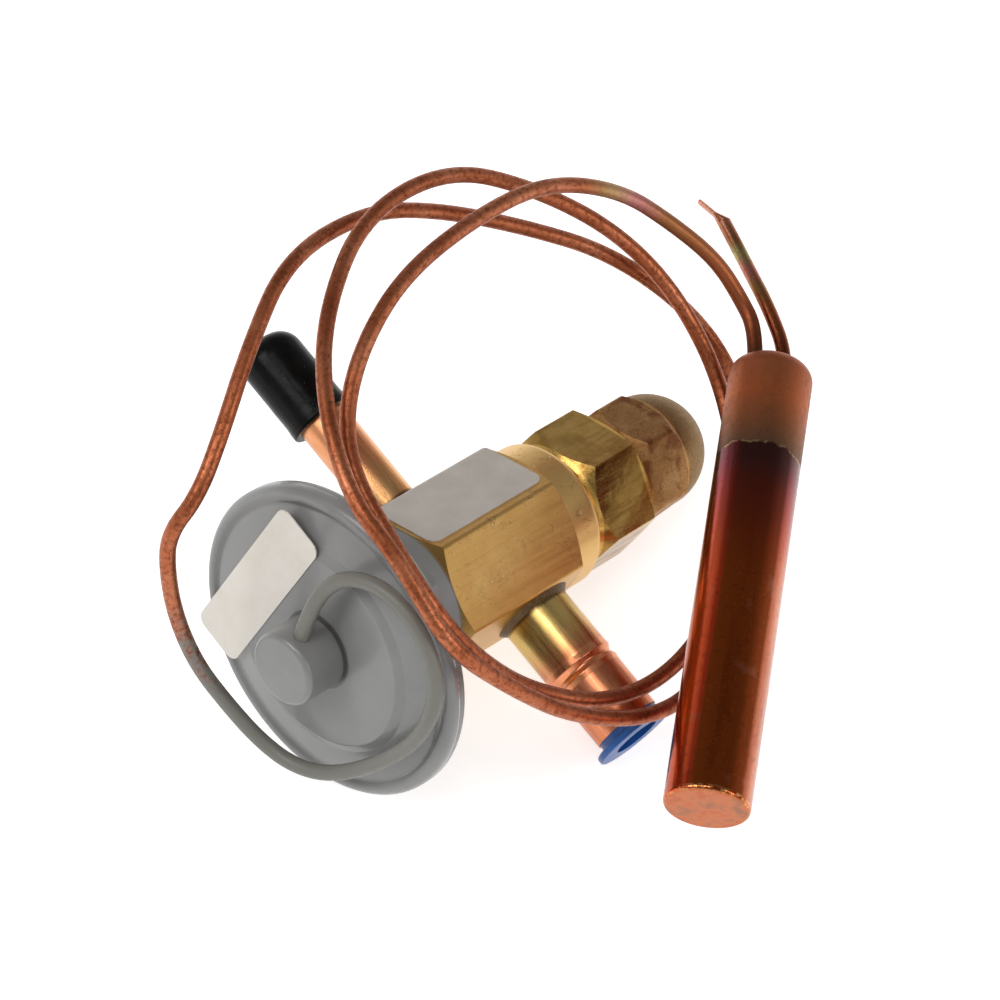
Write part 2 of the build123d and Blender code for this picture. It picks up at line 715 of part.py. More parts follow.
valve = {
    "valve_body": valve_body(), "upper_case": upper_case(), "lower_case": lower_case(),
    "capillary_boss": capillary_boss(), "diaphragm": diaphragm(), "buffer_plate": buffer_plate(),
    "push_rods": push_rods(), "seat_insert": seat_insert(), "valve_pin": valve_pin(),
    "pin_carrier": pin_carrier(), "superheat_spring": superheat_spring(), "spring_guide": spring_guide(),
    "adjusting_stem": adjusting_stem(), "stem_packing": stem_packing(), "packing_follower": packing_follower(),
    "stem_housing": stem_housing(), "housing_gasket": housing_gasket(), "cap_washer": cap_washer(),
    "seal_cap": seal_cap(), "outlet_tube": outlet_tube(), "inlet_tube": inlet_tube(),
    "outlet_braze_ring": braze_ring(outlet_radius, 0, 1),
    "inlet_braze_ring": braze_ring(inlet_radius, inlet_height, -1),
    "inlet_strainer": inlet_strainer(), "outlet_plug": outlet_plug(), "inlet_cap": inlet_cap(),
    "power_label": power_label(), "body_label": body_label(),
}

laid = resting_frame().location.inverse()
box = Compound(children=[laid * piece for piece in valve.values()]).bounding_box()
laid = Plane(Pos(-box.center().X, -box.center().Y, 0) * laid)
pieces = {name: laid * piece for name, piece in valve.items()}

capillary_points, fill_points = tube_points()
capillary, capillary_line, capillary_bends = bent_tube(capillary_points, capillary_radius)
tube_ends = [(capillary_points[::-1], capillary_radius), (fill_points, fill_radius)]
pieces["capillary_tube"] = capillary
pieces["sensing_bulb"] = sensing_bulb(tube_ends)
pieces["fill_tube"] = fill_tube(fill_points)
pieces["capillary_entry_braze"] = bulb_braze(*tube_ends[0])
pieces["fill_entry_braze"] = bulb_braze(*tube_ends[1])

os.makedirs("parts", exist_ok=True)
for name, piece in pieces.items():
    export_step(piece, f"parts/{name}.step")
print("bend radii", [round(bend, 1) for bend in capillary_bends])
print("capillary length", round(capillary_line.length, 1))
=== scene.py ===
"""Looks of the expansion valve: camera, light, capillary and materials, in the frame of its solids."""
import bpy
from math import cos, pi, sin
from mathutils import Matrix, Vector


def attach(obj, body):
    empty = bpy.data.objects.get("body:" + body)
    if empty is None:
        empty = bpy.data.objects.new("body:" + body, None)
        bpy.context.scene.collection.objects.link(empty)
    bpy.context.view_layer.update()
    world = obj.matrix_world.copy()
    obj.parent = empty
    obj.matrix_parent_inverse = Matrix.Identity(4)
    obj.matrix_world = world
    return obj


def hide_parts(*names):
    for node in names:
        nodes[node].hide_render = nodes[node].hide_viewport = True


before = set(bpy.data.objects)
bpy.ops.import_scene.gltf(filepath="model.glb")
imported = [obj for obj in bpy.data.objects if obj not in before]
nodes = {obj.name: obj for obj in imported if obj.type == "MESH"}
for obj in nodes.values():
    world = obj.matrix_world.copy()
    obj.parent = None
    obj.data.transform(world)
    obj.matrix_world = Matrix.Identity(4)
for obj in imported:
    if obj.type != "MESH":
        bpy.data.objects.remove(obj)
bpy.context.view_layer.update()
scene = bpy.context.scene
mm = 0.001

# Camera: where the photograph was taken from, with a long lens
right, up, back = (0.6945, -0.7184, 0.0397), (0.5438, 0.5602, 0.6249), (-0.4712, -0.4124, 0.7797)
camera_place = (-0.30457, -0.27175, 0.53383)
film_width, focal_length, near_limit = 36.0, 156.24, 0.01
camera = bpy.data.objects.new("camera", bpy.data.cameras.new("camera"))
scene.collection.objects.link(camera)
camera.data.sensor_width = film_width
camera.data.lens = focal_length
camera.data.clip_start = near_limit
camera.matrix_world = Matrix.Translation(camera_place) @ Matrix((right, up, back)).transposed().to_4x4()
scene.camera = camera
scene.view_settings.view_transform = "Standard"

# Capillary: the same points as in the solids, in millimetres, from the boss to the bulb
capillary_radius = 1.2
tube_sides, curve_steps = 24, 12
capillary_points = [
    (-40.57, -3.71, 29.43), (-39.09, -4.06, 36.06),
    (-36.5, -5, 41.5), (-34.5, -8.5, 45.5), (-33.5, -15, 47), (-34, -22, 44.5), (-35, -26.5, 38),
    (-37, -27, 31), (-38, -24, 22.5), (-40, -18, 13.5), (-42.5, -12, 8), (-44, -6, 6),
    (-45, 0, 7.5), (-46.5, 5.5, 13), (-49, 9, 21.5), (-50.5, 11.5, 32), (-50.5, 13, 41.5),
    (-49.5, 13.5, 48.5), (-45, 12, 54.5), (-37.5, 15, 59.5), (-27, 20.5, 64.5), (-13, 27, 68),
    (4.5, 28.5, 63.5), (16.5, 25, 57.5), (30.5, 19, 47.5), (41.5, 12, 39), (49, 2.5, 29),
    (51, -6.5, 20.5), (43, -21.5, 14.5), (25.5, -33.5, 12.5), (8, -41.5, 12.5), (-5.5, -43, 17),
    (-18, -38, 24.5), (-26.5, -32.5, 34.5), (-33.5, -26.5, 45), (-32.5, -15.5, 54), (-32.5, -5.5, 59),
    (-25, 7.5, 63.5), (-14.5, 17.5, 66), (0.5, 25, 68.5), (18, 25, 65.5), (31, 19, 56),
    (41, 10.5, 45.5), (45.5, 1, 35), (44.5, -10.5, 24), (35.5, -23, 17), (19.5, -34, 14),
    (3.5, -38.5, 15.5), (-10.5, -37.5, 20), (-20.5, -31.5, 27), (-27.5, -27, 37), (-31, -21.5, 46),
    (-30, -11.5, 52.5), (-28, -2, 56.5), (-23, 5, 60), (-14.5, 10, 64.5), (-2, 14, 66.5),
    (14.5, 15.5, 65), (29, 15, 62), (41.5, 11, 54), (47.5, 4.5, 46.5), (51.5, -1, 40),
    (52, -6, 35), (50.5, -11, 32.5), (45.66, -15.18, 30.59)]

# Axes and origins of the valve and of the bulb in the shared frame, for patterns that follow them
valve_x, valve_z = Vector((-0.066768, -0.951481, -0.300377)), Vector((-0.976175, 0.0, 0.216985))
valve_axes = Matrix((valve_x, valve_z.cross(valve_x), valve_z))
valve_start = Vector((-1.236, -3.548, 17.416))
bulb_x, bulb_z = Vector((0.5751, -0.8179, 0.0164)), Vector((0.8073, 0.5707, 0.1503))
bulb_axes = Matrix((bulb_x, bulb_z.cross(bulb_x), bulb_z))
bulb_start = Vector((-13.39, -60.11, 19.36))


def smooth_line(points, name):
    """Points along the smooth curve of a list of control points, evenly dense."""
    curve = bpy.data.curves.new(name, "CURVE")
    curve.dimensions = "3D"
    spline = curve.splines.new("NURBS")
    spline.points.add(len(points) - 1)
    for point, place in zip(spline.points, points):
        point.co = [c * mm for c in place] + [1.0]
    spline.order_u = 3
    spline.use_endpoint_u = True
    spline.resolution_u = curve_steps
    holder = bpy.data.objects.new(name, curve)
    scene.collection.objects.link(holder)
    bpy.context.view_layer.update()
    mesh = bpy.data.meshes.new_from_object(holder.evaluated_get(bpy.context.evaluated_depsgraph_get()))
    line = [vertex.co.copy() for vertex in mesh.vertices]
    bpy.data.objects.remove(holder)
    bpy.data.meshes.remove(mesh)
    return line


def tube_mesh(name, line, radius, sides):
    """Round tube along a line, with the distance from its start kept on its points as 'along'."""
    verts, faces, along = [], [], []
    across = Vector((0, 0, 1)).cross(line[1] - line[0]).normalized()
    gone = 0.0
    for i, place in enumerate(line):
        ahead = (line[min(i + 1, len(line) - 1)] - line[max(i - 1, 0)]).normalized()
        across = (across - ahead * across.dot(ahead)).normalized()
        other = ahead.cross(across)
        if i:
            gone += (place - line[i - 1]).length
        for k in range(sides):
            angle = 2 * pi * k / sides
            verts.append(tuple(place + (across * cos(angle) + other * sin(angle)) * radius))
            along.append(gone / mm)
    for i in range(len(line) - 1):
        for k in range(sides):
            a, b = i * sides + k, i * sides + (k + 1) % sides
            faces.append((a, b, b + sides, a + sides))
    faces.append(tuple(range(sides))[::-1])
    faces.append(tuple((len(line) - 1) * sides + k for k in range(sides)))
    mesh = bpy.data.meshes.new(name)
    mesh.from_pydata(verts, [], faces)
    mesh.attributes.new("along", "FLOAT", "POINT").data.foreach_set("value", along)
    mesh.polygons.foreach_set("use_smooth", [True] * len(mesh.polygons))
    piece = bpy.data.objects.new(name, mesh)
    scene.collection.objects.link(piece)
    return piece


capillary_line = smooth_line(capillary_points, "capillary_path")
capillary = tube_mesh("capillary", capillary_line, capillary_radius * mm, tube_sides)
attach(capillary, "valve")
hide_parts("capillary_tube")


def srgb(r, g, b):
    """Colour as seen on a screen, 0 to 255, for a shader."""
    def straight(c):
        c /= 255.0
        return c / 12.92 if c <= 0.04045 else ((c + 0.055) / 1.055) ** 2.4
    return (straight(r), straight(g), straight(b), 1.0)


class Finish:
    """Material with short calls for the nodes that its looks are made of."""

    def __init__(self, name, **sockets):
        self.material = bpy.data.materials.new(name)
        self.material.use_nodes = True
        self.tree = self.material.node_tree
        self.shader = self.tree.nodes["Principled BSDF"]
        self.set(**sockets)

    def set(self, **sockets):
        for key, value in sockets.items():
            self.link(value, self.shader.inputs[key.replace("_", " ")])

    def link(self, value, socket):
        if isinstance(value, bpy.types.NodeSocket):
            self.tree.links.new(value, socket)
        else:
            socket.default_value = value

    def node(self, kind, **settings):
        made = self.tree.nodes.new(kind)
        for key, value in settings.items():
            setattr(made, key, value)
        return made

    def place(self, axes=None, start=None):
        """Position in millimetres, in the shared frame or along other axes."""
        mapping = self.node("ShaderNodeMapping")
        mapping.inputs["Scale"].default_value = [1 / mm] * 3
        if axes is not None:
            mapping.inputs["Rotation"].default_value = axes.to_euler()
            mapping.inputs["Location"].default_value = -(axes @ start)
        self.link(self.node("ShaderNodeTexCoord").outputs["Object"], mapping.inputs["Vector"])
        return mapping.outputs["Vector"]

    def stretch(self, vector, scale):
        mapping = self.node("ShaderNodeMapping")
        mapping.inputs["Scale"].default_value = scale
        self.link(vector, mapping.inputs["Vector"])
        return mapping.outputs["Vector"]

    def split(self, vector):
        made = self.node("ShaderNodeSeparateXYZ")
        self.link(vector, made.inputs[0])
        return made.outputs

    def join(self, x, y, z):
        made = self.node("ShaderNodeCombineXYZ")
        for value, socket in zip((x, y, z), made.inputs):
            self.link(value, socket)
        return made.outputs[0]

    def noise(self, vector, scale, detail=3.0, rough=0.5, bend=0.0):
        made = self.node("ShaderNodeTexNoise")
        self.link(vector, made.inputs["Vector"])
        for key, value in (("Scale", scale), ("Detail", detail), ("Roughness", rough), ("Distortion", bend)):
            made.inputs[key].default_value = value
        return made.outputs["Fac"]

    def cells(self, vector, scale):
        """Distance to the nearest of scattered points."""
        made = self.node("ShaderNodeTexVoronoi", feature="F1")
        self.link(vector, made.inputs["Vector"])
        made.inputs["Scale"].default_value = scale
        return made.outputs["Distance"]

    def maths(self, kind, a, b=0.0):
        made = self.node("ShaderNodeMath", operation=kind)
        for value, socket in zip((a, b), made.inputs):
            self.link(value, socket)
        return made.outputs[0]

    def times(self, a, b):
        return self.maths("MULTIPLY", a, b)

    def radius(self, x, y):
        return self.maths("SQRT", self.maths("ADD", self.times(x, x), self.times(y, y)))

    def span(self, value, low, high, out_low=0.0, out_high=1.0, soft=True):
        """Map a value from one span to another, held at its ends."""
        made = self.node("ShaderNodeMapRange", interpolation_type="SMOOTHSTEP" if soft else "LINEAR")
        for key, number in (("Value", value), ("From Min", low), ("From Max", high), ("To Min", out_low),
                            ("To Max", out_high)):
            self.link(number, made.inputs[key])
        return made.outputs["Result"]

    def band(self, value, low, high, edge):
        """1 between two values, fading to 0 outside them."""
        return self.times(self.span(value, low - edge, low), self.span(value, high, high + edge, 1.0, 0.0))

    def ramp(self, value, stops):
        """Colours of three channels, 0 to 255, at places from 0 to 1."""
        made = self.node("ShaderNodeValToRGB")
        self.link(value, made.inputs["Fac"])
        elements = made.color_ramp.elements
        while len(elements) < len(stops):
            elements.new(0.5)
        for element, (position, colour) in zip(elements, stops):
            element.position = position
            element.color = srgb(*colour)
        return made.outputs["Color"]

    def over(self, amount, colour, below):
        """A colour, 0 to 255 or from a node, laid over another by an amount."""
        made = self.node("ShaderNodeMix", data_type="RGBA")
        self.link(amount, made.inputs["Factor"])
        self.link(below, made.inputs[6])
        self.link(srgb(*colour) if isinstance(colour, tuple) else colour, made.inputs[7])
        return made.outputs[2]

    def blend(self, amount, a, b):
        """Mix of two plain values."""
        made = self.node("ShaderNodeMix", data_type="FLOAT")
        for value, socket in zip((amount, a, b), (made.inputs[0], made.inputs[2], made.inputs[3])):
            self.link(value, socket)
        return made.outputs[0]

    def bump(self, height, depth, under=None):
        """Bump of a height from 0 to 1, with its depth in millimetres."""
        made = self.node("ShaderNodeBump")
        made.inputs["Distance"].default_value = depth * mm
        self.link(height, made.inputs["Height"])
        if under is not None:
            self.link(under, made.inputs["Normal"])
        return made.outputs["Normal"]

    def on(self, *names):
        for name in names:
            data = nodes[name].data if isinstance(name, str) else name.data
            data.materials.clear()
            data.materials.append(self.material)


def painted_case():
    """Grey gloss paint with a slight orange peel, painted shade in the crease, a dark ring at the foot of
    the boss, dust specks and small scuffs.
    """
    boss_edge, crown_level, crease_edge = 5.8, 36.1, 22.3
    dark_grey, pale_grey = (126, 126, 125), (138, 138, 137)
    boss_ring_dark, shade, scuffed, dust = (58, 57, 56), (88, 87, 85), (168, 168, 166), (190, 190, 188)
    f = Finish("case_paint", Coat_Weight=0.3, Coat_Roughness=0.1)
    p = f.place(valve_axes, valve_start)
    x, y, z = f.split(p)
    radius = f.radius(x, y)
    cloud = f.noise(p, scale=0.12, detail=4)
    colour = f.ramp(cloud, [(0.3, dark_grey), (0.7, pale_grey)])
    # A dark ring where the boss meets the case.
    round_boss = f.band(radius, boss_edge - 0.05, boss_edge + 0.35, edge=0.3)
    joint = f.times(round_boss, f.band(z, crown_level - 0.2, crown_level + 0.4, edge=0.3))
    # Painted shade: the paint is darkened along the crease of the case, where shade falls.
    painted_crease_shade = f.times(f.band(radius, crease_edge, crease_edge + 1.0, edge=0.5), f.band(z, 33.0, 35.0, edge=0.5))
    colour = f.over(f.times(joint, 0.75), boss_ring_dark, colour)
    colour = f.over(f.times(painted_crease_shade, 0.3), shade, colour)
    rubbed = f.noise(f.stretch(p, (1.0, 0.35, 1.0)), scale=0.9, detail=6, rough=0.7)
    scuff = f.span(rubbed, 0.69, 0.75)
    speck = f.span(f.cells(p, scale=0.55), 0.035, 0.06, out_low=1.0, out_high=0.0)
    colour = f.over(f.times(scuff, 0.3), scuffed, colour)
    colour = f.over(f.times(speck, 0.25), dust, colour)
    peel = f.bump(f.noise(p, scale=1.4, detail=2), depth=0.01)
    f.set(Base_Color=colour, Roughness=f.span(cloud, 0.3, 0.7, out_low=0.3, out_high=0.4))
    f.set(Normal=f.bump(f.noise(p, scale=0.12, detail=2), depth=0.12, under=peel))
    f.on("upper_case", "lower_case", "capillary_boss")


def body_finish():
    """Drawn hexagon bar, matt and scratched, smooth where it is turned and painted at its upper end."""
    low_turned, high_turned = -8.4, 17.9
    brass = [(0.3, (196, 154, 88)), (0.52, (206, 164, 98)), (0.72, (214, 176, 112))]
    drawn_line, turned_brass, scratch = (158, 118, 62), (230, 190, 124), (88, 58, 28)
    scuffed, bright_nick, paint = (112, 80, 42), (250, 232, 190), (132, 132, 131)
    f = Finish("body_brass")
    p = f.place(valve_axes, valve_start)
    x, y, z = f.split(p)
    turned = f.span(z, low_turned - 0.2, low_turned + 0.2, out_low=1.0, out_high=0.0)
    painted = f.span(z, high_turned - 0.25, high_turned + 0.05)
    colour = f.ramp(f.noise(p, scale=0.13, detail=5, rough=0.6), brass)
    streak = f.noise(f.stretch(p, (1.6, 1.6, 0.03)), scale=1.0, detail=4, rough=0.6)
    around = f.join(f.times(f.radius(x, y), 0.5), 0.0, f.times(z, 3.0))
    ring = f.noise(around, scale=1.0, detail=3, rough=0.6)
    colour = f.over(f.span(streak, 0.5, 0.75, out_low=0.0, out_high=0.3), drawn_line, colour)
    colour = f.over(f.times(turned, 0.7), turned_brass, colour)
    worn = f.span(y, -4.0, 2.0)
    crease = f.noise(f.stretch(p, (0.35, 0.35, 0.2)), scale=1.0, detail=6, rough=0.6, bend=1.5)
    thin_line = f.band(crease, 0.5, 0.503, edge=0.006)
    patch = f.span(f.noise(p, scale=0.25, detail=3, rough=0.6), 0.48, 0.58)
    scratches = f.times(f.times(worn, patch), thin_line)
    colour = f.over(f.times(scratches, 0.75), scratch, colour)
    rubbed = f.noise(f.stretch(p, (1.0, 1.0, 0.5)), scale=1.0, detail=7, rough=0.75, bend=0.4)
    colour = f.over(f.times(f.times(worn, f.span(rubbed, 0.62, 0.7)), 0.4), scuffed, colour)
    points = f.cells(f.stretch(p, (0.16, 0.16, 0.6)), scale=1.0)
    nick = f.span(points, 0.03, 0.055, out_low=1.0, out_high=0.0)
    colour = f.over(f.times(nick, 0.8), bright_nick, colour)
    colour = f.over(painted, paint, colour)
    rough = f.blend(turned, f.span(streak, 0.35, 0.7, out_low=0.34, out_high=0.44), 0.36)
    f.set(Base_Color=colour, Metallic=f.maths("SUBTRACT", 1.0, painted), Roughness=rough)
    lines = f.bump(f.blend(turned, streak, ring), depth=0.006)
    waves = f.bump(f.noise(p, scale=0.3, detail=3), depth=0.04, under=lines)
    f.set(Normal=f.bump(nick, depth=-0.04, under=waves))
    f.on("valve_body")


def housing_finish():
    """Semi-bright hexagon housing with dark streaks, stains and golden chamfers."""
    top_chamfer, low_chamfer = -15.7, -26.1
    brass = [(0.3, (140, 108, 52)), (0.5, (166, 130, 68)), (0.7, (182, 146, 84))]
    dark_streak, gold, stain = (112, 76, 28), (236, 190, 104), (92, 62, 28)
    f = Finish("housing_brass", Metallic=1.0)
    p = f.place(valve_axes, valve_start)
    z = f.split(p)[2]
    colour = f.ramp(f.noise(p, scale=0.22, detail=5, rough=0.6), brass)
    streak = f.noise(f.stretch(p, (1.2, 1.2, 0.1)), scale=1.0, detail=5, rough=0.7)
    colour = f.over(f.span(streak, 0.5, 0.75, out_low=0.0, out_high=0.6), dark_streak, colour)
    chamfers = f.maths("MAXIMUM", f.span(z, top_chamfer - 0.2, top_chamfer + 0.1),
                       f.span(z, low_chamfer - 0.2, low_chamfer + 0.1, out_low=1.0, out_high=0.0))
    colour = f.over(f.times(chamfers, 0.7), gold, colour)
    blot = f.noise(p, scale=0.5, detail=6, rough=0.7, bend=0.8)
    colour = f.over(f.span(blot, 0.6, 0.7, out_low=0.0, out_high=0.6), stain, colour)
    f.set(Base_Color=colour, Roughness=f.span(streak, 0.35, 0.7, out_low=0.16, out_high=0.3))
    f.set(Normal=f.bump(f.noise(p, scale=0.25, detail=2), depth=0.1, under=f.bump(streak, depth=0.01)))
    f.on("stem_housing")


def cap_finish():
    """Forged cap: sandy and matt, with a reddish stain and a polished mouth."""
    dome_base, mouth = -37.4, -28.5
    brass = [(0.3, (156, 114, 68)), (0.52, (172, 130, 82)), (0.72, (184, 146, 96))]
    olive, dark_grain, red_stain, polished = (138, 114, 78), (112, 80, 48), (122, 68, 38), (226, 176, 112)
    f = Finish("cap_brass", Metallic=1.0)
    p = f.place(valve_axes, valve_start)
    z = f.split(p)[2]
    colour = f.ramp(f.noise(p, scale=0.25, detail=5, rough=0.6), brass)
    dome = f.span(z, dome_base - 1.0, dome_base + 1.0, out_low=1.0, out_high=0.0)
    colour = f.over(f.times(dome, 0.75), olive, colour)
    grain = f.noise(p, scale=3.2, detail=3, rough=0.7)
    colour = f.over(f.span(grain, 0.45, 0.7, out_low=0.0, out_high=0.45), dark_grain, colour)
    blot = f.span(f.noise(p, scale=0.32, detail=4, rough=0.6, bend=0.5), 0.5, 0.66)
    on_hexagon = f.times(blot, f.band(z, dome_base, mouth, edge=1.0))
    colour = f.over(f.times(on_hexagon, 0.7), red_stain, colour)
    shine = f.span(z, mouth - 0.2, mouth + 0.2)
    # A thin bright line along the edge where the hexagon meets the dome.
    line = f.band(z, dome_base - 0.1, dome_base + 0.2, edge=0.2)
    colour = f.over(f.maths("MAXIMUM", f.times(shine, 0.9), f.times(line, 0.5)), polished, colour)
    sandy = f.span(grain, 0.3, 0.7, out_low=0.46, out_high=0.62)
    f.set(Base_Color=colour, Roughness=f.blend(shine, sandy, 0.2))
    waves = f.bump(f.noise(p, scale=0.7, detail=3), depth=0.06)
    f.set(Normal=f.bump(grain, depth=0.04, under=waves))
    f.on("seal_cap")


def tube_finish(name, piece, near, far, groove=None):
    """Copper tube end that turns brassy towards the body, with stains from brazing."""
    body_flat, copper_start, copper_end, stain_end = 11.9, 17.0, 25.0, 20.0
    stain, burnt, groove_copper = (122, 104, 84), (70, 54, 34), (236, 156, 112)
    f = Finish(name, Metallic=1.0)
    p = f.place(valve_axes, valve_start)
    away = f.maths("ABSOLUTE", f.split(p)[0])
    wave = f.maths("ADD", away, f.times(f.noise(p, scale=0.4, detail=3), 3.0))
    cloud = f.noise(f.stretch(p, (0.25, 1.0, 1.0)), scale=0.5, detail=5, rough=0.6)
    colour = f.over(f.span(wave, copper_start, copper_end), f.ramp(cloud, far), f.ramp(cloud, near))
    blot = f.noise(f.stretch(p, (0.12, 0.7, 0.7)), scale=1.0, detail=5, rough=0.6, bend=0.5)
    stained = f.times(f.span(blot, 0.55, 0.68), f.span(away, stain_end + 4.0, stain_end))
    colour = f.over(f.times(stained, 0.5), stain, colour)
    colour = f.over(f.times(f.span(away, body_flat + 1.6, body_flat + 1.0), 0.8), burnt, colour)
    streak = f.noise(f.stretch(p, (0.06, 2.4, 2.4)), scale=1.0, detail=4, rough=0.65)
    if groove:
        lips = f.band(away, groove - 2.0, groove + 1.6, edge=0.3)
        colour = f.over(f.times(lips, 0.6), groove_copper, colour)
    f.set(Base_Color=colour, Roughness=f.span(streak, 0.35, 0.7, out_low=0.26, out_high=0.36))
    waves = f.bump(f.noise(p, scale=0.45, detail=2), depth=0.03)
    f.set(Normal=f.bump(streak, depth=0.004, under=waves))
    f.on(piece)


def capillary_finish():
    """Annealed copper with brown tarnish, heat tints near the bulb, and paint where it leaves the boss."""
    paint_end, tint_start, bulb_end = 110.0, 733.0, 790.0
    annealed = [(0.3, (150, 82, 52)), (0.5, (170, 98, 66)), (0.72, (188, 120, 88))]
    tarnish, paint = (100, 50, 28), srgb(118, 116, 108)
    tints = [(0.0, (166, 96, 64)), (0.1, (160, 118, 72)), (0.2, (176, 160, 108)), (0.3, (178, 116, 112)),
             (0.42, (144, 94, 58)), (0.72, (150, 84, 54)), (0.88, (104, 54, 34)), (0.95, (64, 42, 32))]
    f = Finish("capillary_copper")
    p = f.place()
    along = f.node("ShaderNodeAttribute", attribute_name="along").outputs["Fac"]
    mottle = f.noise(p, scale=1.3, detail=5, rough=0.7)
    copper = f.ramp(f.noise(p, scale=0.1, detail=4, rough=0.6), annealed)
    copper = f.over(f.span(mottle, 0.44, 0.66, out_low=0.0, out_high=0.7), tarnish, copper)
    uneven = f.maths("ADD", along, f.times(mottle, 8.0))
    heat = f.ramp(f.span(uneven, tint_start, bulb_end, soft=False), tints)
    copper = f.over(f.span(along, tint_start, tint_start + 14.0), heat, copper)
    ragged = f.maths("SUBTRACT", f.noise(p, scale=0.35, detail=4), 0.5)
    line = f.maths("ADD", along, f.times(ragged, 34.0))
    flakes = f.span(mottle, 0.3, 0.7, out_low=-0.22, out_high=0.22)
    bare = f.maths("ADD", f.span(line, paint_end - 20.0, paint_end + 20.0), flakes)
    worn = f.span(bare, 0.15, 0.85)
    f.set(Base_Color=f.over(worn, copper, paint), Metallic=worn)
    f.set(Roughness=f.span(mottle, 0.3, 0.7, out_low=0.36, out_high=0.52))
    f.set(Normal=f.bump(f.noise(p, scale=0.9, detail=3), depth=0.015))
    f.on(capillary)


def fill_finish():
    """Copper filling stub with a heat tint in its middle and a bare pinched tip."""
    foot, tip = 75.0, 104.0
    tints = [(0.0, (58, 38, 26)), (0.12, (104, 52, 30)), (0.4, (158, 86, 54)), (0.52, (150, 110, 66)),
             (0.62, (186, 112, 104)), (0.72, (164, 150, 100)), (0.8, (150, 94, 64)), (1.0, (206, 142, 116))]
    tarnish = (84, 42, 24)
    f = Finish("fill_copper", Metallic=1.0)
    p = f.place(bulb_axes, bulb_start)
    mottle = f.noise(p, scale=1.2, detail=5, rough=0.7)
    climb = f.span(f.maths("ADD", f.split(p)[2], f.times(mottle, 2.0)), foot, tip, soft=False)
    colour = f.over(f.span(mottle, 0.5, 0.7, out_low=0.0, out_high=0.5), tarnish, f.ramp(climb, tints))
    f.set(Base_Color=colour, Roughness=f.span(mottle, 0.3, 0.7, out_low=0.2, out_high=0.36))
    f.set(Normal=f.bump(f.noise(p, scale=0.8, detail=3), depth=0.03))
    f.on("fill_tube")


